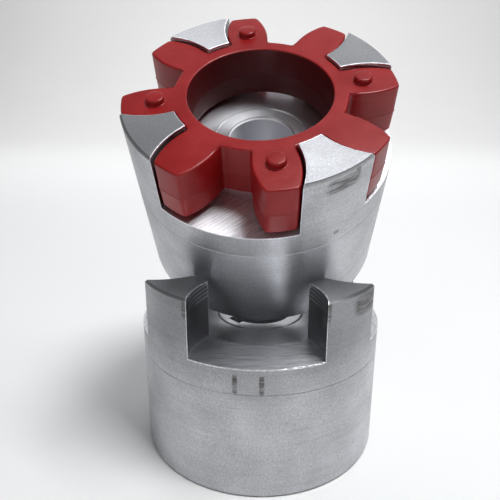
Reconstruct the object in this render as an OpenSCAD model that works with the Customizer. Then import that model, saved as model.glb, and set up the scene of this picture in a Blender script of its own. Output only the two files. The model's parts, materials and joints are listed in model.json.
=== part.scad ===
// Jaw coupling: two four-jaw hubs, one eight-tooth elastic spider and two set screws.
// Shown apart: the second hub, with the spider seated in it, leans in the jaws of the first.
// Millimetres, +Z up, origin at the centre of the lower hub's base.

/* [Hubs] */
// Outside diameter of both hubs
hub_d = 120; // [110:1:130]
// Height of a hub from its base to the jaw tops
hub_h = 92.5; // [85:0.5:100]
// Height of the jaws above the hub floor
jaw_h = 27.5; // [26:0.5:29]
// Diameter of the round space between the jaws
jaw_space_d = 76.2; // [74:0.2:80]
// Chamfer on the jaw tops, the base rim and the floor end of the bore
edge_chamfer = 1; // [0.4:0.1:1.5]
// Depth of the turned witness line below the hub floor
witness_drop = 12.3; // [6:0.1:16]
// Diameter of the ring groove in the hub floor
floor_groove_d = 44; // [40:0.5:50]

/* [Bore and keyway] */
// Diameter of the shaft bore
bore_d = 30; // [24:1:36]
// Width of the parallel keyway
key_w = 8; // [6:1:10]
// Height from the far side of the bore to the keyway's floor
key_top = 33.3; // [27.3:0.1:39.3]

/* [Set screws] */
// Thread diameter of the set screws
screw_d = 10; // [8:1:12]
// Length of the set screws
screw_l = 40; // [35:1:41]
// How far a set screw's point stays back from the bore
screw_back = 2.8; // [1:0.1:3.5]
// Width of the hexagon socket across its flats
socket_af = 5; // [4:0.5:6]
// Depth of the hexagon socket
socket_depth = 5; // [4:0.5:8]

/* [Jaw and tooth flanks] */
// Radius of the hollow jaw flanks, which the crowned teeth follow
flank_r = 34.2; // [33.8:0.1:35]
// Distance of the flank arcs' centres from the axis, along the tooth
flank_x = 45; // [44:0.1:46]
// Distance of the flank arcs' centres from the tooth's middle line
flank_y = 23.8; // [23.6:0.1:24.2]

/* [Spider] */
// Diameter of the round opening in the spider
ring_bore_d = 62.2; // [58:0.2:66]
// Thickness of the spider's ring and teeth
spider_t = 23.6; // [20:0.1:24]
// Gap between the spider and the jaws beside it
seat_gap = 0.3; // [0.2:0.05:0.6]
// Diameter of the round spacing studs
stud_d = 7.8; // [6:0.2:9]
// Height of the spacing studs
stud_h = 2.5; // [1:0.1:2.6]
// Distance of the studs from the axis
stud_x = 44.6; // [43:0.2:48]

/* [Leaning hub] */
// Angle by which the upper hub leans over to the front
lean = 35.4; // [35:0.1:36]
// Turn of the upper hub about its own axis
upper_turn = 32; // [0:1:89]
// How far in front of the lower hub's axis the leaning hub's rim comes down
rim_reach = 13.6; // [13:0.1:13.8]
// Height of that rim over the lower floor, as the hub hangs wedged between the four jaws
rim_lift = 1.6; // [1.5:0.1:3]

/* [Hidden] */

jaw_count = 4;
tooth_count = 2 * jaw_count;
tooth_pitch = 360 / tooth_count;
hub_r = hub_d / 2;
jaw_space_r = jaw_space_d / 2;
floor_z = hub_h - jaw_h;
screw_z = floor_z / 2;
key_floor_r = key_top - bore_d / 2;
lower_turn = 45;

line_w = 0.8;          // width of the witness line
line_depth = 0.35;     // its depth
groove_w = 1.4;        // width of the floor groove
groove_depth = 0.7;    // its depth
thread_gap = 0.05;     // clearance between a set screw and its hole
stud_gap = 0.1;        // clearance between the lower studs and the floor
tooth_end_gap = 0.4;   // how far the tooth ends lie inside the hub's outside diameter
screw_point = 2;       // length of the screw's tapered point
screw_bevel = 1;       // chamfer round the screw's socket end
hole_sink = 1.5;       // depth of the countersink at a screw hole's mouth
through = 1;           // overshoot of cutting shapes
far = 2 * hub_r;       // reach of the wedge that separates the jaws

rim_r = hub_r - edge_chamfer;
upper_y = rim_r * cos(lean) - rim_reach;
upper_z = floor_z + rim_lift + rim_r * sin(lean);

module in_lower() {
    rotate([0, 0, lower_turn]) children();
}

module in_upper() {
    translate([0, upper_y, upper_z]) rotate([lean, 0, 0]) rotate([0, 0, upper_turn]) children();
}

// The two arcs beside a tooth whose middle line is at the given angle.
module flank_circle(angle, side, r) {
    rotate(angle) translate([flank_x, side * flank_y]) circle(r = r, $fn = 96);
}

// One jaw seen from above: a wedge of the ring with a hollow flank on each side.
module jaw_outline() {
    half = tooth_pitch / 2;
    difference() {
        intersection() {
            polygon([[0, 0], [far * cos(half), -far * sin(half)], [far * cos(half), far * sin(half)]]);
            difference() {
                circle(r = hub_r, $fn = 128);
                circle(r = jaw_space_r, $fn = 128);
            }
        }
        flank_circle(half, 1, flank_r);
        flank_circle(-half, -1, flank_r);
    }
}

// Ring-shaped envelope that chamfers the jaws' outer and inner top edges.
module jaw_envelope() {
    c = edge_chamfer;
    rotate_extrude($fn = 128)
        polygon([[jaw_space_r, floor_z - through], [hub_r, floor_z - through],
                 [hub_r, hub_h - c], [hub_r - c, hub_h],
                 [jaw_space_r + c, hub_h], [jaw_space_r, hub_h - c]]);
}

module jaws() {
    intersection() {
        jaw_envelope();
        for (i = [0 : jaw_count - 1])
            rotate([0, 0, i * 360 / jaw_count])
                translate([0, 0, floor_z - through / 2])
                    linear_extrude(height = jaw_h + through / 2) jaw_outline();
    }
}

// Solid of revolution of the hub below its jaws, with the witness line and the floor groove.
module hub_body() {
    c = edge_chamfer;
    line_z = floor_z - witness_drop;
    groove_r = floor_groove_d / 2;
    bore_r = bore_d / 2;
    rotate_extrude($fn = 128)
        polygon([[bore_r, 0], [rim_r, 0], [hub_r, c],
                 [hub_r, line_z - line_w / 2], [hub_r - line_depth, line_z], [hub_r, line_z + line_w / 2],
                 [hub_r, floor_z],
                 [groove_r + groove_w / 2, floor_z], [groove_r, floor_z - groove_depth],
             [groove_r - groove_w / 2, floor_z],
                 [bore_r + c, floor_z], [bore_r, floor_z - c]]);
}

module keyway() {
    translate([-key_floor_r, -key_w / 2, -through])
        cube([key_floor_r, key_w, floor_z + 2 * through]);
}

module screw_hole() {
    hole_r = screw_d / 2 + thread_gap;
    translate([0, 0, screw_z]) rotate([0, 90, 0]) {
        cylinder(h = hub_r + through, r = hole_r, $fn = 48);
        translate([0, 0, hub_r - hole_sink])
            cylinder(h = 2 * hole_sink, r1 = hole_r, r2 = hole_r + 2 * hole_sink, $fn = 48);
    }
}

// A complete hub standing at the origin, with a jaw and the screw hole on +X and the keyway on -X.
module hub() {
    difference() {
        union() {
            hub_body();
            jaws();
        }
        keyway();
        screw_hole();
    }
}

// Crowned tooth on +X, as a lens cut off at its outer end.
module tooth_outline() {
    intersection() {
        flank_circle(0, 1, flank_r - seat_gap);
        flank_circle(0, -1, flank_r - seat_gap);
        translate([jaw_space_r / 2, -hub_r / 2]) square([hub_r, hub_r]);
    }
}

module stud(angle, z) {
    rotate([0, 0, angle]) translate([stud_x, 0, z])
        cylinder(h = stud_h + through, d = stud_d, $fn = 48);
}

// The spider in its own frame, its lower studs standing on z = 0.
module spider_solid() {
    c = edge_chamfer;
    end_r = hub_r - tooth_end_gap;
    bore_r = ring_bore_d / 2;
    top = stud_h + spider_t;
    intersection() {
        translate([0, 0, stud_h - through])
            linear_extrude(height = spider_t + 2 * through)
                union() {
                    circle(r = jaw_space_r - seat_gap, $fn = 128);
                    for (i = [0 : tooth_count - 1])
                        rotate((i + 0.5) * tooth_pitch) tooth_outline();
                }
        rotate_extrude($fn = 128)
            polygon([[bore_r, stud_h + c], [bore_r + c, stud_h], [end_r - c, stud_h], [end_r, stud_h + c],
                     [end_r, top - c], [end_r - c, top], [bore_r + c, top], [bore_r, top - c]]);
    }
    for (i = [0 : jaw_count - 1]) {
        stud((2 * i - 0.5) * tooth_pitch, top - through);
        stud((2 * i + 0.5) * tooth_pitch, 0);
    }
}

// Set screw on +X, its point drawn back from the bore and its socket facing outwards.
module set_screw() {
    r = screw_d / 2;
    translate([bore_d / 2 + screw_back, 0, screw_z]) rotate([0, 90, 0])
        difference() {
            rotate_extrude($fn = 48)
                polygon([[0, 0], [r - screw_point, 0], [r, screw_point],
                         [r, screw_l - screw_bevel], [r - screw_bevel, screw_l], [0, screw_l]]);
            translate([0, 0, screw_l - socket_depth])
                cylinder(h = socket_depth + through, r = socket_af / 2 / cos(30), $fn = 6);
        }
}

module lower_hub() {
    color("silver") in_lower() hub();
}

module upper_hub() {
    color("silver") in_upper() hub();
}

module spider() {
    color("firebrick") in_upper() translate([0, 0, floor_z + stud_gap]) spider_solid();
}

module lower_set_screw() {
    color("dimgray") in_lower() set_screw();
}

module upper_set_screw() {
    color("dimgray") in_upper() set_screw();
}

lower_hub();
upper_hub();
spider();
lower_set_screw();
upper_set_screw();
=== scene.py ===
"""Looks of the jaw coupling: two turned aluminium hubs, a moulded red spider and two set screws."""

import json
import math

import bmesh
import bpy
import numpy as np
from mathutils import Matrix, Vector


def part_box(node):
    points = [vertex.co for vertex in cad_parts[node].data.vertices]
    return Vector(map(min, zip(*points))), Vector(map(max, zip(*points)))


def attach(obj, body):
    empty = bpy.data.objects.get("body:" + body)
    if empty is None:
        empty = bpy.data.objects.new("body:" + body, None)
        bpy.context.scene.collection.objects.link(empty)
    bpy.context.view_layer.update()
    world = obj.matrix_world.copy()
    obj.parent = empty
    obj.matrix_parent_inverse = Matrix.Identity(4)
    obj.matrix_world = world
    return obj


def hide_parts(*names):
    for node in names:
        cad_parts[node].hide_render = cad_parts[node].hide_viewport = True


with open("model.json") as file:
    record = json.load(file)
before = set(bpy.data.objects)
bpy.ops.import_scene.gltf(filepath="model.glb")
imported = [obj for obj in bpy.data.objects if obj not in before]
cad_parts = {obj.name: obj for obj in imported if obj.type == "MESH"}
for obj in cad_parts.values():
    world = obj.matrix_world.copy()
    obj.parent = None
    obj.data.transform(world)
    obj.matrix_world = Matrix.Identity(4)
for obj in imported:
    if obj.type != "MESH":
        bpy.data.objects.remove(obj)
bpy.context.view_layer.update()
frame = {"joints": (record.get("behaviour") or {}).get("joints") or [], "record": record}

# ---------------------------------------------------------------- sizes, in metres

MM = 1000.0  # millimetres in a metre
JOINTS = {j["name"]: j for j in frame["joints"]}
MOUNTS = {m["name"]: m for m in frame["record"]["mounts"]}
BORE = MOUNTS["lower_bore"]["dims"]
HUB_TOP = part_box("lower_hub")[1]

SKIN = 0.00002  # how far the hubs' outside and tops lie inside the CAD model's
RIM_CHAMFER = 0.001
HUB_R = HUB_TOP.x - SKIN
HUB_H = HUB_TOP.z - SKIN
BORE_R = BORE["r_mm"] / MM
FLOOR_Z = BORE["length_mm"] / MM + RIM_CHAMFER
JAW_IN = 0.0381  # radius of the round space between the jaws
WITNESS_Z = FLOOR_Z - 0.0123  # the turned line round the outside
WITNESS_W = 0.0006
WITNESS_DEPTH = 0.00019
GROOVE_R = 0.022  # the ring groove in the floor
GROOVE_W = 0.0014
GROOVE_DEPTH = 0.0007
KEY_W = 0.008
KEY_FLOOR_R = 0.0183
SCREW_Z = FLOOR_Z / 2
SCREW_R = 0.005
SCREW_HOLE_R = SCREW_R + 0.0001
SCREW_HOLE_MOUTH = 0.0015
SCREW_L = 0.040
SCREW_POINT_R = BORE_R + 0.0028
THREAD_PITCH = 0.0015
THREAD_DEPTH = 0.00075
THREAD_PLAY = 0.00005
SOCKET_FLATS = 0.005
SOCKET_DEPTH = 0.005

FLANK_R = 0.0342  # the hollow jaw flanks: arcs about points beside each gap's middle line
FLANK_X = 0.045
FLANK_Y = 0.0238
JAWS = 4
TOOTH_PITCH = math.radians(45)

SEAT_GAP = 0.0008  # between the teeth and the jaw flanks
STUD_R = 0.0039
STUD_H = 0.0025
STUD_X = 0.0446
STUD_GAP = 0.0001
SPIDER_T = 0.0236
SPIDER_Z = FLOOR_Z + STUD_GAP + STUD_H
SPIDER_END_R = HUB_R - 0.0004
RING_R = JAW_IN - 0.0003
RING_BORE_R = 0.0311

EDGE_ROUND = 0.0003
THROUGH = 0.001  # overshoot of cutting shapes


# ---------------------------------------------------------------- where the hubs stand

def placement(origin, axis, screw):
    """Matrix of a hub's own frame: +Z along its bore, +X towards its set screw."""
    z = Vector(axis).normalized()
    x = Vector(screw).normalized()
    y = z.cross(x)
    matrix = Matrix((x, y, z)).transposed().to_4x4()
    matrix.translation = origin
    return matrix


UP = Vector(JOINTS["spider_pull"]["axis"])
upper_bore = MOUNTS["upper_bore"]
upper_base = Vector(upper_bore["pos_m"]) - UP * (upper_bore["dims"]["length_mm"] / 2 / MM)
LOWER = placement(Vector((0, 0, 0)), (0, 0, 1), JOINTS["lower_screw_out"]["axis"])
UPPER = placement(upper_base, UP, JOINTS["upper_screw_out"]["axis"])


# ---------------------------------------------------------------- mesh helpers

class Patches:
    """Collects grids of points as quads, and welds them into one mesh."""

    def __init__(self):
        self.bm = bmesh.new()

    def grid(self, rows, closed=False):
        made = [[self.bm.verts.new(p) for p in row] for row in rows]
        for low, high in zip(made, made[1:]):
            count = len(low)
            for i in range(count if closed else count - 1):
                n = (i + 1) % count
                self.bm.faces.new((low[i], low[n], high[n], high[i]))

    def fan(self, row, centre):
        """Closes a ring of points with triangles to its centre."""
        middle = self.bm.verts.new(centre)
        made = [self.bm.verts.new(p) for p in row]
        for i, v in enumerate(made):
            self.bm.faces.new((v, made[(i + 1) % len(made)], middle))

    def weld(self):
        bmesh.ops.remove_doubles(self.bm, verts=self.bm.verts, dist=1e-6)
        bmesh.ops.recalc_face_normals(self.bm, faces=self.bm.faces)
        return self.bm


def polar(r, angle, z):
    return Vector((r * math.cos(angle), r * math.sin(angle), z))


def piece_from(bm, name):
    mesh = bpy.data.meshes.new(name)
    bm.to_mesh(mesh)
    bm.free()
    piece = bpy.data.objects.new(name, mesh)
    bpy.context.scene.collection.objects.link(piece)
    return piece


def apply_modifiers(piece):
    graph = bpy.context.evaluated_depsgraph_get()
    piece.data = bpy.data.meshes.new_from_object(piece.evaluated_get(graph))
    piece.modifiers.clear()


def combine(piece, other, operation):
    """Boolean of piece with other; other is used up."""
    step = piece.modifiers.new("combine", "BOOLEAN")
    step.operation = operation
    step.solver = "EXACT"
    step.object = other
    apply_modifiers(piece)
    bpy.data.objects.remove(other)


def shade(piece, angle=35):
    """Smooth shading that keeps edges over the angle sharp and flat faces flat."""
    mesh = piece.data
    mesh.polygons.foreach_set("use_smooth", [True] * len(mesh.polygons))
    mesh.set_sharp_from_angle(angle=math.radians(angle))
    step = piece.modifiers.new("flat faces", "WEIGHTED_NORMAL")
    step.keep_sharp = True
    apply_modifiers(piece)


def lathe(name, profile, steps=48):
    """Closed solid turned from (radius, height) points that start and end on the axis."""
    patches = Patches()
    rows = [[polar(r, 2 * math.pi * i / steps, z) for i in range(steps)] for r, z in profile[1:-1]]
    patches.grid(rows, closed=True)
    patches.fan(rows[0], (0, 0, profile[0][1]))
    patches.fan(rows[-1], (0, 0, profile[-1][1]))
    return piece_from(patches.weld(), name)


def box_piece(name, low, high):
    bm = bmesh.new()
    bmesh.ops.create_cube(bm, size=1)
    size = [h - l for l, h in zip(low, high)]
    centre = [(h + l) / 2 for l, h in zip(low, high)]
    matrix = Matrix.Translation(centre) @ Matrix.Diagonal((*size, 1))
    bmesh.ops.transform(bm, verts=bm.verts, matrix=matrix)
    return piece_from(bm, name)


# ---------------------------------------------------------------- hubs

RADIAL_STEPS = 12
JAW_STEPS = 16
GAP_STEPS = 28
WALL_STEPS = 8


def flank_angle(r, circle_r=FLANK_R):
    """Angle from a jaw's middle line to its flank at radius r."""
    reach = math.hypot(FLANK_X, FLANK_Y)
    towards = TOOTH_PITCH / 2 + math.atan2(FLANK_Y, FLANK_X)
    cosine = (r * r + reach * reach - circle_r * circle_r) / (2 * r * reach)
    return towards - math.acos(cosine)


def jaw_angles(k, r):
    """Angles across jaw k at radius r."""
    a = flank_angle(r)
    return [k * math.pi / 2 + a * (2 * i / JAW_STEPS - 1) for i in range(JAW_STEPS + 1)]


def gap_angles(k, r):
    """Angles across the gap that follows jaw k, at radius r."""
    a = flank_angle(r)
    width = math.pi / 2 - 2 * a
    return [k * math.pi / 2 + a + width * i / GAP_STEPS for i in range(GAP_STEPS + 1)]


def ring_angles(r):
    """Angles of a whole turn, with a point on every flank."""
    return [a for k in range(JAWS) for a in jaw_angles(k, r)[:-1] + gap_angles(k, r)[:-1]]


def spread(low, high, steps):
    return [low + (high - low) * i / steps for i in range(steps + 1)]


def jaw_top(r):
    """Height of a jaw's top at radius r, with its chamfered outer edge."""
    return HUB_H - max(0, r - (HUB_R - RIM_CHAMFER))


def hub_profile():
    """The hub's section below its jaws: in over the floor, down the bore, out over the base, up outside.

    Each row is (radius, height, t), where t blends the angles from those at JAW_IN to those at HUB_R.
    """
    w = GROOVE_W / 2
    rows = [(r, FLOOR_Z, 0) for r in spread(JAW_IN, GROOVE_R + w, 8)]
    rows += [(GROOVE_R, FLOOR_Z - GROOVE_DEPTH, 0), (GROOVE_R - w, FLOOR_Z, 0)]
    rows += [(BORE_R + RIM_CHAMFER, FLOOR_Z, 0)]
    rows += [(BORE_R, z, 0) for z in spread(FLOOR_Z - RIM_CHAMFER, 0, 10)]
    rim = HUB_R - RIM_CHAMFER
    rows += [(BORE_R + (rim - BORE_R) * t, 0, t) for t in spread(0.1, 1, 9)]
    w = WITNESS_W / 2
    rows += [(HUB_R, z, 1) for z in spread(RIM_CHAMFER, WITNESS_Z - w, 9)]
    rows += [(HUB_R - WITNESS_DEPTH, WITNESS_Z, 1)]
    rows += [(HUB_R, z, 1) for z in spread(WITNESS_Z + w, FLOOR_Z, 3)]
    return rows


def hub_shell():
    """The hub's surface as welded grids, before its edges are rounded."""
    patches = Patches()
    inner = ring_angles(JAW_IN)
    outer = ring_angles(HUB_R)
    rows = [[polar(r, a + (b - a) * t, z) for a, b in zip(inner, outer)] for r, z, t in hub_profile()]
    patches.grid(rows, closed=True)
    radii = spread(JAW_IN, HUB_R - RIM_CHAMFER, RADIAL_STEPS) + [HUB_R]
    up = spread(0, 1, WALL_STEPS)
    for k in range(JAWS):
        patches.grid([[polar(r, a, jaw_top(r)) for a in jaw_angles(k, r)] for r in radii])
        patches.grid([[polar(r, a, FLOOR_Z) for a in gap_angles(k, r)] for r in radii])
        for r in (JAW_IN, HUB_R):
            heights = [FLOOR_Z + (jaw_top(r) - FLOOR_Z) * t for t in up]
            patches.grid([[polar(r, a, z) for a in jaw_angles(k, r)] for z in heights])
        for side in (-1, 1):
            flank = [(r, k * math.pi / 2 + side * flank_angle(r)) for r in radii]
            rows = [[polar(r, a, FLOOR_Z + (jaw_top(r) - FLOOR_Z) * t) for r, a in flank] for t in up]
            patches.grid(rows)
    return patches.weld()


def round_edges(bm):
    """Rounds the outer corners, and marks them with 1 in the edge attribute."""
    sharp = math.radians(55)
    corners = [e for e in bm.edges if e.is_convex and e.calc_face_angle() > sharp]
    made = bmesh.ops.bevel(
        bm, geom=corners, offset=EDGE_ROUND, offset_type="OFFSET", segments=2, profile=0.5,
        affect="EDGES", clamp_overlap=False, loop_slide=True,
    )
    layer = bm.verts.layers.float.new("edge")
    for face in made["faces"]:
        for v in face.verts:
            v[layer] = 1


def chuck_marks(angles, low, high):
    """Cutting shapes for columns of shallow dashes, as the teeth of a chuck leave them on the outside."""
    depth, width, notch, count = 0.0001, 0.0019, 0.0005, 7
    bm = bmesh.new()
    for row, angle in enumerate(angles):
        for i in range(count):
            uneven = 0.5 + 0.5 * math.sin(5.1 * i + 2.3 * row)
            z = low + (high - low) * (i + 0.3 * uneven) / count
            turn = Matrix.Rotation(angle + 0.003 * uneven, 4, "Z")
            tilt = Matrix.Rotation(math.radians(45), 4, "Y")
            size = Matrix.Diagonal((2 * depth, width * (0.7 + 0.3 * uneven), notch, 1))
            bmesh.ops.create_cube(bm, size=1, matrix=turn @ Matrix.Translation((HUB_R, 0, z)) @ tilt @ size)
    return piece_from(bm, "notches")


def screw_hole():
    """Cutting shape of the set screw's hole, with its countersunk mouth outside."""
    r, mouth = SCREW_HOLE_R, SCREW_HOLE_MOUTH
    profile = [(0, 0), (r, 0), (r, HUB_R - mouth), (r + 2 * mouth, HUB_R + mouth), (0, HUB_R + mouth)]
    hole = lathe("hole", profile)
    hole.data.transform(Matrix.Translation((0, 0, SCREW_Z)) @ Matrix.Rotation(math.pi / 2, 4, "Y"))
    return hole


def hub(name, mark_angles=()):
    """A complete hub in its own frame, with chuck marks at the given angles."""
    bm = hub_shell()
    round_edges(bm)
    piece = piece_from(bm, name)
    key = box_piece("key", (-KEY_FLOOR_R, -KEY_W / 2, -THROUGH), (0, KEY_W / 2, FLOOR_Z + THROUGH))
    combine(piece, key, "DIFFERENCE")
    combine(piece, screw_hole(), "DIFFERENCE")
    if mark_angles:
        marks = chuck_marks(mark_angles, WITNESS_Z + 0.0008, FLOOR_Z - 0.0025)
        combine(piece, marks, "DIFFERENCE")
    shade(piece)
    return piece


# ---------------------------------------------------------------- spider

OUTLINE_STEP = 0.0007
CORNER_SOFTNESS = 0.001
ROOT_STEPS = 12
TOOTH_STEPS = 30
TIP_STEPS = 20
FILL_STEPS = 7


def tooth_outline():
    """One eighth of the spider's outline, from the middle of one root to the next, about a tooth on +X."""
    half = TOOTH_PITCH / 2
    circle_r = FLANK_R - SEAT_GAP
    foot = half - flank_angle(RING_R, circle_r)
    side = [polar(RING_R, -half + (half - foot) * i / ROOT_STEPS, 0) for i in range(ROOT_STEPS)]
    for i in range(TOOTH_STEPS):
        r = RING_R + (SPIDER_END_R - RING_R) * i / TOOTH_STEPS
        side.append(polar(r, -(half - flank_angle(r, circle_r)), 0))
    end = half - flank_angle(SPIDER_END_R, circle_r)
    tip = [polar(SPIDER_END_R, end * (2 * i / TIP_STEPS - 1), 0) for i in range(TIP_STEPS + 1)]
    mirrored = [Vector((p.x, -p.y, 0)) for p in reversed(side)]
    return side + tip + mirrored[:-1]


def even_loop(points, step):
    """The closed line through points, resampled at even steps."""
    p = np.array([(v.x, v.y) for v in points] + [(points[0].x, points[0].y)])
    run = np.concatenate([[0], np.cumsum(np.hypot(*np.diff(p, axis=0).T))])
    count = 8 * round(run[-1] / step / 8)
    at = np.arange(count) * run[-1] / count
    return np.stack([np.interp(at, run, p[:, 0]), np.interp(at, run, p[:, 1])], 1), run[-1] / count


def soften(loop, spacing, sigma):
    """Rounds the corners of a closed line by a Gaussian average of that width."""
    reach = int(4 * sigma / spacing)
    offsets = np.arange(-reach, reach + 1)
    weights = np.exp(-((offsets * spacing / sigma) ** 2) / 2)
    weights /= weights.sum()
    return sum(w * np.roll(loop, -o, axis=0) for w, o in zip(weights, offsets))


def inward(loop):
    """Unit normals of a closed line, pointing to its inside."""
    along = np.roll(loop, -1, axis=0) - np.roll(loop, 1, axis=0)
    along /= np.hypot(*along.T)[:, None]
    return np.stack([-along[:, 1], along[:, 0]], 1)


def spider_side(height):
    """(height, inset) pairs up the spider's side: rounded edges, a slight draft and a mould line."""
    rounding, draft, ridge, ridge_w = 0.0008, 0.0002, 0.0002, 0.0003
    parting = 0.44 * height
    turns = spread(0, math.pi / 2, 4)
    low = [(rounding * (1 - math.cos(a)), draft + rounding * (1 - math.sin(a))) for a in turns]
    high = [(height - z, inset) for z, inset in reversed(low)]
    middle = [(parting / 2, draft / 2), (parting - ridge_w, 0.0), (parting, -ridge),
              (parting + ridge_w, 0.0), ((parting + height) / 2, draft / 2)]
    return low + middle + high


def ring_with_teeth():
    """The ring with its eight teeth, its lower face on z = 0."""
    sector = tooth_outline()
    turns = [Matrix.Rotation(TOOTH_PITCH * (k + 0.5), 3, "Z") for k in range(2 * JAWS)]
    loop, spacing = even_loop([turn @ p for turn in turns for p in sector], OUTLINE_STEP)
    loop = soften(loop, spacing, CORNER_SOFTNESS)
    normals = inward(loop)
    start = math.atan2(loop[0][1], loop[0][0])
    angles = [start + 2 * math.pi * i / len(loop) for i in range(len(loop))]
    outer, inner = [], []
    for z, inset in spider_side(SPIDER_T):
        outer.append([Vector((*(p + n * inset), z)) for p, n in zip(loop, normals)])
        inner.append([polar(RING_BORE_R + inset, a, z) for a in angles])
    patches = Patches()
    patches.grid(outer, closed=True)
    patches.grid(inner, closed=True)
    # The top face, then the lower one.
    for end in (-1, 0):
        pairs = list(zip(inner[end], outer[end]))
        rows = [[a.lerp(b, t) for a, b in pairs] for t in spread(0, 1, FILL_STEPS)]
        patches.grid(rows, closed=True)
    return piece_from(patches.weld(), "spider_moulding")


def stud_profile():
    """A spacing stud with a rounded rim and a small flare at its foot."""
    rim, flare, sunk, lap = 0.0008, 0.0004, 0.0006, 0.00001
    points = [(0, -sunk), (STUD_R + flare, -sunk), (STUD_R + flare, -lap)]
    for a in (0.5, 1.0, 1.4):
        points.append((STUD_R + flare * (1 - math.sin(a)), flare * (1 - math.cos(a))))
    for a in (0, 0.5, 1.0, math.pi / 2):
        points.append((STUD_R - rim * (1 - math.cos(a)), STUD_H - rim * (1 - math.sin(a))))
    return points + [(0, STUD_H)]


def spider():
    """The whole moulding in the hub's frame, with a stud between the teeth on alternate faces."""
    piece = ring_with_teeth()
    upright = Matrix.Identity(4)
    hanging = Matrix.Rotation(math.pi, 4, "X")
    for k in range(JAWS):
        for offset, z, stance in ((-0.5, SPIDER_T, upright), (0.5, 0, hanging)):
            stud = lathe("stud", stud_profile(), steps=40)
            foot = polar(STUD_X, (2 * k + offset) * TOOTH_PITCH, z)
            stud.data.transform(Matrix.Translation(foot) @ stance)
            combine(piece, stud, "UNION")
    piece.data.transform(Matrix.Translation((0, 0, SPIDER_Z)))
    shade(piece)
    return piece


# ---------------------------------------------------------------- set screws

SCREW_AROUND = 48
ROWS_PER_TURN = 8


def screw_ring(z, radii):
    """A ring of points at height z, with a radius for each of them."""
    return [polar(r, 2 * math.pi * i / len(radii), z) for i, r in enumerate(radii)]


def round_ring(z, r):
    return screw_ring(z, [r] * SCREW_AROUND)


def thread_radius(phase):
    """Radius of the cut thread at a share of its pitch: flat crests and roots, and sloping sides."""
    slope = 1 - abs(2 * (phase % 1) - 1)
    return SCREW_R - THREAD_PLAY - THREAD_DEPTH * min(1, max(0, 1.25 * slope - 0.1))


def set_screw(name):
    """Socket set screw with a cut thread, its point towards the bore."""
    turns = int(SCREW_L / THREAD_PITCH) - 1
    start = (SCREW_L - turns * THREAD_PITCH) / 2
    root = SCREW_R - THREAD_DEPTH - 0.0001
    point = round_ring(0, root - 0.0012)
    rows = [point, round_ring(start / 2, root)]
    for row in range(turns * ROWS_PER_TURN + 1):
        turned = row / ROWS_PER_TURN
        radii = [thread_radius(turned - i / SCREW_AROUND) for i in range(SCREW_AROUND)]
        rows.append(screw_ring(start + THREAD_PITCH * turned, radii))
    tail = round_ring(SCREW_L, root - 0.0004)
    rows += [round_ring(SCREW_L - start / 2, root), tail]
    patches = Patches()
    patches.grid(rows, closed=True)
    patches.fan(point, (0, 0, 0))
    patches.fan(tail, (0, 0, SCREW_L))
    piece = piece_from(patches.weld(), name)

    hexagon = SOCKET_FLATS / 2 / math.cos(math.pi / 6)
    floor, mouth = SCREW_L - SOCKET_DEPTH, SCREW_L + THROUGH
    profile = [(0, floor - 0.0012), (hexagon, floor), (hexagon, mouth), (0, mouth)]
    combine(piece, lathe("socket", profile, steps=6), "DIFFERENCE")
    seat = Matrix.Translation((SCREW_POINT_R, 0, SCREW_Z))
    piece.data.transform(seat @ Matrix.Rotation(math.pi / 2, 4, "Y"))
    shade(piece, 30)
    return piece


# ---------------------------------------------------------------- node helpers

class Nodes:
    """Short names for building a material's node tree."""

    def __init__(self, name):
        self.material = bpy.data.materials.new(name)
        self.material.use_nodes = True
        self.tree = self.material.node_tree
        self.shader = self.tree.nodes["Principled BSDF"]

    def add(self, kind, inputs=(), **settings):
        node = self.tree.nodes.new(kind)
        for key, value in settings.items():
            setattr(node, key, value)
        for key, value in dict(inputs).items():
            self.feed(node.inputs[key], value)
        return node

    def feed(self, socket, value):
        if isinstance(value, bpy.types.NodeSocket):
            self.tree.links.new(value, socket)
        else:
            socket.default_value = value

    def math(self, operation, a, b=0.0, c=0.0):
        node = self.add("ShaderNodeMath", {0: a, 1: b, 2: c}, operation=operation)
        return node.outputs[0]

    def vector(self, operation, a, b=(0, 0, 0)):
        node = self.add("ShaderNodeVectorMath", {0: a, 1: b}, operation=operation)
        return node.outputs[1 if operation in ("LENGTH", "DOT_PRODUCT") else 0]

    def ramp(self, value, low, high, to_low=0.0, to_high=1.0):
        inputs = {0: value, 1: low, 2: high, 3: to_low, 4: to_high}
        return self.add("ShaderNodeMapRange", inputs, interpolation_type="SMOOTHSTEP").outputs[0]

    def product(self, first, *others):
        for other in others:
            first = self.math("MULTIPLY", first, other)
        return first

    def noise(self, vector, scale, detail=2.0, roughness=0.5, distortion=0.0):
        inputs = {
            "Vector": vector, "Scale": scale, "Detail": detail, "Roughness": roughness,
            "Distortion": distortion,
        }
        return self.add("ShaderNodeTexNoise", inputs).outputs[0]

    def xyz(self, x, y, z=0.0):
        return self.add("ShaderNodeCombineXYZ", {0: x, 1: y, 2: z}).outputs[0]

    def mix(self, share, a, b):
        node = self.add("ShaderNodeMix", {0: share, 6: a, 7: b}, data_type="RGBA")
        return node.outputs[2]

    def bump(self, height, strength, distance, normal=None):
        inputs = {"Strength": strength, "Distance": distance, "Height": height}
        if normal is not None:
            inputs["Normal"] = normal
        return self.add("ShaderNodeBump", inputs).outputs[0]


class OwnFrame:
    """Coordinates in a hub's own frame, in millimetres, for a piece whose mesh is already in place."""

    def __init__(self, n, matrix):
        coords = n.add("ShaderNodeTexCoord")
        offset = n.vector("SUBTRACT", coords.outputs["Object"], tuple(matrix.translation))
        axes = [tuple(matrix.col[i].xyz) for i in range(3)]
        self.x, self.y, self.z = (n.product(n.vector("DOT_PRODUCT", offset, a), MM) for a in axes)
        self.position = n.xyz(self.x, self.y, self.z)
        self.radius = n.vector("LENGTH", n.xyz(self.x, self.y))
        self.angle = n.math("ARCTAN2", self.y, self.x)
        self.normal_z = n.vector("DOT_PRODUCT", coords.outputs["Normal"], axes[2])


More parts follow.
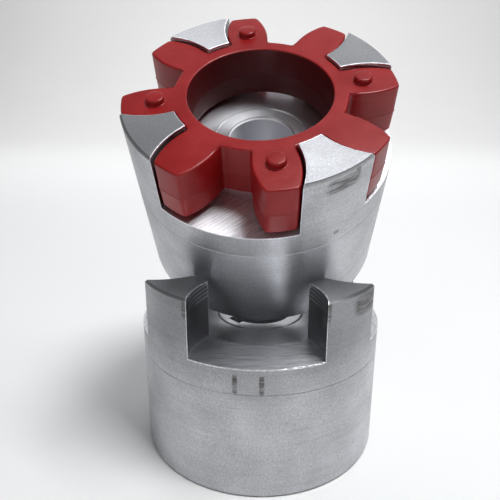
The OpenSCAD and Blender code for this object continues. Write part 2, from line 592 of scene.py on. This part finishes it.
def grey(value, tint=(1.0, 1.0, 1.0)):
    return (value * tint[0], value * tint[1], value * tint[2], 1.0)


# ---------------------------------------------------------------- aluminium

# Lengths in this section are in millimetres, as OwnFrame gives them.
LINE_PITCH = 0.42  # fine turned lines
COARSE_PITCH = 3.5  # broad unevenness of the turning
CUT_PITCH = 0.85  # ridges on the milled floors between the jaws
BAND_PITCH = 1.9  # cutter bands on the jaw flanks
BAND_REACH = 8.0  # how far the bands come down from the jaw tops
GRAIN_STRETCH = 0.6

TONE_SPAN = (0.40, 0.62)  # the mixed noise at which the metal is darkest and lightest
ROUGH_SPAN = (0.44, 0.34)  # its roughness there
COOL = (0.975, 0.985, 1.03)
ALUMINIUM_DARK = grey(0.41, COOL)
ALUMINIUM_LIGHT = grey(0.62, COOL)
ALUMINIUM_MILLED = grey(0.92, COOL)
ALUMINIUM_FACED = grey(0.28, COOL)
# painted shade on the outside walls towards the jaws
ALUMINIUM_PAINTED_SHADE = grey(0.12, COOL)
ALUMINIUM_BORE = grey(0.92, COOL)
# painted shade for the jaw flanks and the jaws' inner walls, down in the recess
ALUMINIUM_FLANK_PAINTED_SHADE = grey(0.24, COOL)
ALUMINIUM_BAND = grey(0.70, COOL)
# bright edges: wear and a painted highlight in one colour
ALUMINIUM_EDGE = grey(0.92, COOL)
SCUFF = (0.12, 0.11, 0.105, 1.0)


def turned_lines(n, own, across, pitch, seed):
    """Fine lines left by turning: noise that changes fast across the cut and slowly round the axis."""
    round_axis = 0.02
    drawn = n.xyz(n.product(own.x, round_axis), n.product(own.y, round_axis),
                      n.math("MULTIPLY_ADD", across, 1 / pitch, seed))
    return n.noise(drawn, 1.0, 3.0, 0.65)


def spot(n, own, at, size):
    """Soft, nearly square patch on the outside of a hub, at = (angle in degrees, height)."""
    squareness = 4.0
    turned = n.math("SUBTRACT", own.angle, math.radians(at[0]))
    sideways = n.product(n.math("SINE", turned), HUB_R * MM / size[0])
    upwards = n.math("MULTIPLY_ADD", own.z, 1 / size[1], -at[1] / size[1])
    powers = [n.math("POWER", n.math("ABSOLUTE", part), squareness) for part in (sideways, upwards)]
    distance = n.math("POWER", n.math("ADD", *powers), 1 / squareness)
    facing = n.math("GREATER_THAN", n.math("COSINE", turned), 0.0)
    return n.product(n.ramp(distance, 1.0, 0.6), facing)


class Regions:
    """Masks from 0 to 1 for the kinds of surface that a hub has, and for the marks on them."""

    def __init__(self, n, own, shifted, scuffs):
        jaw_in, floor_z, hub_r, hub_h = (v * MM for v in (JAW_IN, FLOOR_Z, HUB_R, HUB_H))
        self.facing_up = n.ramp(n.math("ABSOLUTE", own.normal_z), 0.6, 0.9)
        self.upright = n.math("SUBTRACT", 1.0, self.facing_up)
        on_floor = n.product(n.math("COMPARE", own.z, floor_z, 0.3), self.facing_up)
        self.inner_floor = n.product(n.ramp(own.radius, jaw_in + 0.2, jaw_in - 0.2), on_floor)
        self.milled = n.product(n.ramp(own.radius, jaw_in - 0.1, jaw_in + 0.4), on_floor)
        self.unmilled = n.math("SUBTRACT", 1.0, self.milled)
        self.bore = n.product(n.math("LESS_THAN", own.radius, BORE_R * MM + 0.5), self.upright)
        above_middle = n.math("GREATER_THAN", own.z, (floor_z + hub_h) / 2)
        self.jaw_tops = n.product(self.facing_up, above_middle)
        inside_rim = n.ramp(own.radius, hub_r - 0.4, hub_r - 0.8)
        above_floor = n.ramp(own.z, floor_z + 0.5, floor_z + 1.5)
        self.flank = n.product(inside_rim, self.upright, above_floor)

        # Cutter bands near the top of the jaw flanks, a little slanted.
        slanted = n.product(own.radius, 0.35)
        wave = n.math("SINE", n.math("MULTIPLY_ADD", own.z, 2 * math.pi / BAND_PITCH, slanted))
        band_foot = hub_h - BAND_REACH
        near_top = n.ramp(own.z, band_foot - 0.5, band_foot + 0.5)
        self.bands = n.product(near_top, self.flank, n.ramp(wave, 0.0, 0.6))

        # Rounded edges, rubbed bright in places: real wear, and also a painted highlight along them.
        edge = n.add("ShaderNodeAttribute", attribute_name="edge").outputs["Fac"]
        in_places = n.ramp(n.noise(shifted, 0.5, 3.0), 0.35, 0.65, 0.4, 1.0)
        self.wear_and_highlight = n.product(n.ramp(edge, 0.86, 0.98), in_places)

        # Dark rubbed patches, broken up into streaks that run round the hub.
        patches = 0.0
        for at, size in scuffs:
            patches = n.math("MAXIMUM", patches, spot(n, own, at, size))
        streaks = n.noise(n.vector("MULTIPLY", own.position, (0.12, 0.12, 0.9)), 1.0, 2.0, 0.55)
        self.rubbed = n.product(patches, self.upright, n.ramp(streaks, 0.34, 0.62, 0.3, 1.0))


def across_grain(n, own, matrix, milled, slant):
    """Direction square to the tool marks: along the axis on walls, radial on turned faces.

    On the milled floors it is slanted. On the jaw flanks the cross product is nearly nothing, and the
    small share of the axis takes its place.
    """
    axis = tuple(matrix.col[2].xyz)
    axis_share = 0.2
    turn = n.xyz(n.product(own.y, -1.0), own.x)
    parts = [n.vector("DOT_PRODUCT", turn, tuple(row)) for row in matrix.to_3x3()]
    round_axis = n.vector("NORMALIZE", n.xyz(*parts))
    normal = n.add("ShaderNodeTexCoord").outputs["Normal"]
    square = n.vector("CROSS_PRODUCT", normal, round_axis)
    slanted = n.add(
        "ShaderNodeVectorRotate", {"Vector": square, "Center": (0, 0, 0), "Axis": axis, "Angle": -slant}
    ).outputs[0]
    chosen = n.add("ShaderNodeMix", {0: milled, 4: square, 5: slanted}, data_type="VECTOR").outputs[1]
    leaning = n.vector("ADD", chosen, tuple(axis_share * a for a in axis))
    return n.add(
        "ShaderNodeVectorTransform", {0: leaning},
        vector_type="VECTOR", convert_from="OBJECT", convert_to="WORLD",
    ).outputs[0]


def cutter_marks(n, own, slant, waver):
    """Ridges and streaks on the floor between the jaws, along lines at the slant to each gap's middle."""
    turned = n.math("MODULO", n.math("ADD", own.angle, 4 * math.pi), math.pi / 2)
    turned = n.math("SUBTRACT", turned, math.pi / 4 + slant)
    across = n.math("MULTIPLY_ADD", own.radius, n.math("COSINE", turned), waver)
    along = n.product(own.radius, n.math("SINE", turned))
    ridges = n.math("SINE", n.product(across, 2 * math.pi / CUT_PITCH))
    drawn = n.xyz(n.product(across, 1.6), n.product(along, 0.07))
    return ridges, n.noise(drawn, 1.0, 3.0, 0.6)


def aluminium_colour(n, own, on, tone, streaks, wall_shade):
    """Base colour: the turned tone, then each region's colour over it by its share, painted shade and
    highlight among them.
    """
    # Painted shade: the outside walls grow darker towards the jaws.
    shaded_walls = n.ramp(own.z, WITNESS_Z * MM - 8, FLOOR_Z * MM + 12, 0.0, wall_shade)
    bright = n.math("MAXIMUM", on.bore, n.product(on.inner_floor, 0.5))
    layers = (
        (bright, ALUMINIUM_BORE),
        (n.product(on.milled, n.ramp(streaks, 0.35, 0.6, 0.3, 1.0)), ALUMINIUM_MILLED),
        (n.product(on.upright, shaded_walls), ALUMINIUM_PAINTED_SHADE),
        (n.product(on.jaw_tops, 0.6), ALUMINIUM_FACED),
        # painted shade on the jaw flanks and inner walls, in the recess round the spider
        (n.product(on.flank, 0.85), ALUMINIUM_FLANK_PAINTED_SHADE),
        (n.product(on.bands, 0.6), ALUMINIUM_BAND),
        # the edges: real wear and a painted highlight
        (on.wear_and_highlight, ALUMINIUM_EDGE),
        (n.product(on.rubbed, 0.8), SCUFF),
    )
    colour = n.mix(n.ramp(tone, *TONE_SPAN), ALUMINIUM_DARK, ALUMINIUM_LIGHT)
    for share, layer in layers:
        colour = n.mix(share, colour, layer)
    return colour


def aluminium(name, matrix, scuffs, seed, slant, gap_change, wall_shade):
    """Turned aluminium of one hub, with its own scuffs, cutter lines and finish.

    slant is the angle of the cutter lines on the milled floors between the jaws, gap_change how much
    rougher those floors are than the rest, and dullness how far painted shade darkens the walls towards the
    jaws.
    """
    n = Nodes(name)
    own = OwnFrame(n, matrix)
    shifted = n.vector("ADD", own.position, (seed, seed * 0.7, 0))
    on = Regions(n, own, shifted, scuffs)

    grain = n.noise(shifted, 1.7, 4.0, 0.65)
    cloud = n.noise(shifted, 0.045, 2.0)
    wall_lines = turned_lines(n, own, own.z, LINE_PITCH, seed)
    face_lines = turned_lines(n, own, own.radius, LINE_PITCH, seed)
    inputs = {0: on.facing_up, 2: wall_lines, 3: face_lines}
    lines = n.add("ShaderNodeMix", inputs, data_type="FLOAT").outputs[0]
    coarse = turned_lines(n, own, own.z, COARSE_PITCH, seed + 7.0)
    waver = n.product(n.noise(shifted, 0.3, 2.0), 1.2)
    ridges, streaks = cutter_marks(n, own, slant, waver)

    tone = 0.0
    for part, share in ((grain, 0.54), (lines, 0.14), (cloud, 0.24), (coarse, 0.08)):
        tone = n.math("MULTIPLY_ADD", part, share, tone)
    n.feed(n.shader.inputs["Base Color"], aluminium_colour(n, own, on, tone, streaks, wall_shade))

    rough = n.ramp(tone, *TONE_SPAN, *ROUGH_SPAN)
    changes = ((on.inner_floor, -0.06), (on.bore, 0.22), (on.milled, gap_change), (on.flank, -0.06),
               (on.rubbed, 0.15), (on.jaw_tops, 0.20))
    for region, change in changes:
        rough = n.math("MULTIPLY_ADD", region, change, rough)
    n.feed(n.shader.inputs["Roughness"], rough)
    n.shader.inputs["Metallic"].default_value = 1.0
    n.shader.inputs["Anisotropic"].default_value = GRAIN_STRETCH
    n.feed(n.shader.inputs["Tangent"], across_grain(n, own, matrix, on.milled, slant))

    # Relief, from the finest marks to the deepest.
    grainy = n.math("MULTIPLY_ADD", on.jaw_tops, -0.6, on.unmilled)
    cuts = n.math("MULTIPLY_ADD", streaks, 2.5, n.product(ridges, 0.4))
    reliefs = (
        (n.product(grain, grainy), 0.30, 0.00005),
        (n.product(lines, on.unmilled), 0.30, 0.00006),
        (n.product(on.milled, cuts), 0.8, 0.00009),
        (n.math("SUBTRACT", 0.0, on.bands), 0.5, 0.0002),
    )
    normal = None
    for height, strength, distance in reliefs:
        normal = n.bump(height, strength, distance, normal)
    n.feed(n.shader.inputs["Normal"], normal)
    return n.material


# ---------------------------------------------------------------- polyurethane and black steel

RED_DEEP = (0.24, 0.004, 0.005, 1.0)
RED_LIGHT = (0.30, 0.009, 0.010, 1.0)
RED_SHADED = (0.09, 0.005, 0.006, 1.0)
RED_DUST = (0.55, 0.17, 0.16, 1.0)
OXIDE = grey(0.045)
OXIDE_WORN = (0.16, 0.155, 0.15, 1.0)


def polyurethane(matrix):
    """Semi-gloss moulded red, dusty in specks and fine scratches, with painted shade inside the ring."""
    n = Nodes("red_polyurethane")
    own = OwnFrame(n, matrix)
    cloud = n.noise(own.position, 0.06, 2.0)
    fine = n.noise(own.position, 2.2, 3.0, 0.6)
    specks = n.noise(own.position, 2.6, 1.0)
    scratches = n.noise(n.vector("MULTIPLY", own.position, (0.25, 3.0, 1.0)), 1.0, 2.0, 0.6, 0.3)
    colour = n.mix(n.ramp(cloud, 0.3, 0.7), RED_DEEP, RED_LIGHT)
    # Painted shade on the ring's inner wall.
    inside = n.ramp(own.radius, RING_BORE_R * MM + 0.5, RING_BORE_R * MM + 0.2)
    colour = n.mix(inside, colour, RED_SHADED)
    colour = n.mix(n.ramp(specks, 0.73, 0.79, 0.0, 0.5), colour, RED_DUST)
    colour = n.mix(n.ramp(scratches, 0.66, 0.74, 0.0, 0.18), colour, RED_DUST)
    n.feed(n.shader.inputs["Base Color"], colour)
    rough = n.math("MULTIPLY_ADD", fine, 0.10, n.ramp(cloud, 0.3, 0.7, 0.30, 0.35))
    n.feed(n.shader.inputs["Roughness"], rough)
    n.shader.inputs["IOR"].default_value = 1.38
    n.shader.inputs["Specular IOR Level"].default_value = 0.4
    n.shader.inputs["Coat Weight"].default_value = 0.18
    n.shader.inputs["Coat Roughness"].default_value = 0.12
    n.shader.inputs["Subsurface Weight"].default_value = 0.05
    n.shader.inputs["Subsurface Radius"].default_value = (1.0, 0.15, 0.1)
    n.shader.inputs["Subsurface Scale"].default_value = 0.0015
    soft = n.bump(n.noise(own.position, 0.35, 2.0), 0.15, 0.0004)
    skin = n.bump(fine, 0.18, 0.00006, soft)
    n.feed(n.shader.inputs["Normal"], skin)
    return n.material


def black_steel():
    """Black oxide, worn through a little."""
    n = Nodes("black_steel")
    position = n.vector("MULTIPLY", n.add("ShaderNodeTexCoord").outputs["Object"], (MM, MM, MM))
    wear = n.noise(position, 1.1, 4.0, 0.65)
    n.feed(n.shader.inputs["Base Color"], n.mix(n.ramp(wear, 0.5, 0.72), OXIDE, OXIDE_WORN))
    n.feed(n.shader.inputs["Roughness"], n.ramp(wear, 0.3, 0.7, 0.34, 0.5))
    n.shader.inputs["Metallic"].default_value = 1.0
    n.feed(n.shader.inputs["Normal"], n.bump(wear, 0.2, 0.00005))
    return n.material


# ---------------------------------------------------------------- pieces on their bodies

# Where the hubs are marked: angles from the set screw in degrees, heights and half sizes in millimetres.
LOWER_CHUCK_MARKS = (-143.5, -132.6)
LOWER_SCUFFS = [((-105, 87.5), (1.6, 5.5)), ((-82, 86.5), (10.5, 6.0)), ((-165.8, 87.5), (1.4, 4.5))]
LOWER_SCUFFS += [((angle, 57.3), (1.4, 5.3)) for angle in LOWER_CHUCK_MARKS]
UPPER_SCUFFS = [((-89, 87.0), (9.0, 4.5)), ((-83, 89.0), (1.6, 3.5)), ((-89.2, 58.5), (1.6, 1.2))]


def place(piece, matrix, body, node, material):
    """Puts a piece modelled in a hub's own frame where that hub is, attaches it to its body and hides the
    CAD part it stands in for.
    """
    piece.data.transform(matrix)
    piece.data.materials.clear()
    piece.data.materials.append(material)
    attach(piece, body)
    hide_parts(node)


def build_pieces():
    steel = black_steel()
    lower_look = aluminium(
        "aluminium_lower", LOWER, LOWER_SCUFFS,
        seed=0.0, slant=math.radians(4), gap_change=-0.04, wall_shade=0.5,
    )
    upper_look = aluminium(
        "aluminium_upper", UPPER, UPPER_SCUFFS,
        seed=31.0, slant=math.radians(52), gap_change=0.08, wall_shade=0.0,
    )
    lower = hub("lower_hub_turned", [math.radians(angle) for angle in LOWER_CHUCK_MARKS])
    upper = hub("upper_hub_turned")
    moulding = spider()
    lower_screw = set_screw("lower_screw_threaded")
    upper_screw = set_screw("upper_screw_threaded")
    place(lower, LOWER, "lower_hub_body", "lower_hub", lower_look)
    place(upper, UPPER, "upper_hub_body", "upper_hub", upper_look)
    place(moulding, UPPER, "spider_body", "spider", polyurethane(UPPER))
    place(lower_screw, LOWER, "lower_screw_body", "lower_set_screw", steel)
    place(upper_screw, UPPER, "upper_screw_body", "upper_set_screw", steel)


# ---------------------------------------------------------------- studio

VIEW_TARGET = Vector((-0.0053, 0.0, 0.0981))
VIEW_DISTANCE = 0.2609
VIEW_AZIMUTH = math.radians(2.84)
VIEW_ELEVATION = math.radians(17.39)
VIEW_LENS = 37.2
BACKDROP_Y = 2.6
BACKDROP_CENTRE = Vector((0.0, 0.85 * BACKDROP_Y, 0.3))
WHITE = (1.0, 1.0, 1.0)
COOL_WHITE = (0.98, 0.99, 1.0)
PALE_BLUE = (0.90, 0.95, 1.0)


def direction(azimuth, elevation):
    """Unit vector away from the object: azimuth 0 is its front, and a positive one turns to its right."""
    flat = math.cos(elevation)
    return Vector((math.sin(azimuth) * flat, -math.cos(azimuth) * flat, math.sin(elevation)))


def look_along(thing, at, target):
    """Puts a camera or light at a point, facing its target."""
    thing.location = at
    thing.rotation_euler = (Vector(target) - Vector(at)).to_track_quat("-Z", "Y").to_euler()
    bpy.context.scene.collection.objects.link(thing)


def camera():
    data = bpy.data.cameras.new("camera")
    data.lens = VIEW_LENS
    data.clip_start = 0.01
    thing = bpy.data.objects.new("camera", data)
    away = direction(VIEW_AZIMUTH, VIEW_ELEVATION) * VIEW_DISTANCE
    look_along(thing, VIEW_TARGET + away, VIEW_TARGET)
    bpy.context.scene.camera = thing


def softbox(name, azimuth, elevation, distance, size, power, colour, target=VIEW_TARGET):
    """Area light at that azimuth and elevation from VIEW_TARGET, in degrees, facing its target."""
    data = bpy.data.lights.new(name, "AREA")
    data.shape = "RECTANGLE"
    data.size, data.size_y = size
    data.energy = power
    data.color = colour
    thing = bpy.data.objects.new(name, data)
    away = direction(math.radians(azimuth), math.radians(elevation)) * distance
    look_along(thing, VIEW_TARGET + away, target)


def backdrop():
    """Pale floor that curves up into a wall behind the object."""
    half, front, back, bend, high = 3.5, -2.5, BACKDROP_Y, 1.2, 2.5
    line = [(front, 0.0), (back - bend, 0.0)]
    for a in spread(0.1, math.pi / 2, 12):
        line.append((back - bend + bend * math.sin(a), bend * (1 - math.cos(a))))
    line.append((back, high))
    patches = Patches()
    patches.grid([[Vector((x, y, z)) for x in spread(-half, half, 2)] for y, z in line])
    piece = piece_from(patches.weld(), "backdrop")
    piece.data.polygons.foreach_set("use_smooth", [True] * len(piece.data.polygons))
    n = Nodes("paper")
    tone = n.noise(n.add("ShaderNodeTexCoord").outputs["Object"], 3.0, 2.0)
    n.feed(n.shader.inputs["Base Color"], n.mix(tone, grey(0.88), grey(0.92)))
    n.shader.inputs["Roughness"].default_value = 0.9
    n.shader.inputs["Specular IOR Level"].default_value = 0.1
    piece.data.materials.append(n.material)


def studio():
    backdrop()
    softbox("top", 50, 70, 0.9, (0.30, 0.30), 6.8, COOL_WHITE)
    softbox("side", 85, 48, 1.2, (0.35, 0.5), 1.0, WHITE)
    softbox("back", 180, 48, 1.1, (1.3, 0.6), 2.2, PALE_BLUE)
    softbox("front", -40, 12, 1.4, (0.9, 0.5), 1.4, WHITE)
    softbox("wall", 180, 53, 1.5, (2.4, 0.6), 22.0, WHITE, BACKDROP_CENTRE)
    world = bpy.data.worlds.new("studio")
    world.use_nodes = True
    world.node_tree.nodes["Background"].inputs["Color"].default_value = grey(0.9)
    world.node_tree.nodes["Background"].inputs["Strength"].default_value = 0.22
    bpy.context.scene.world = world
    bpy.context.scene.view_settings.view_transform = "Standard"


build_pieces()
studio()
camera()
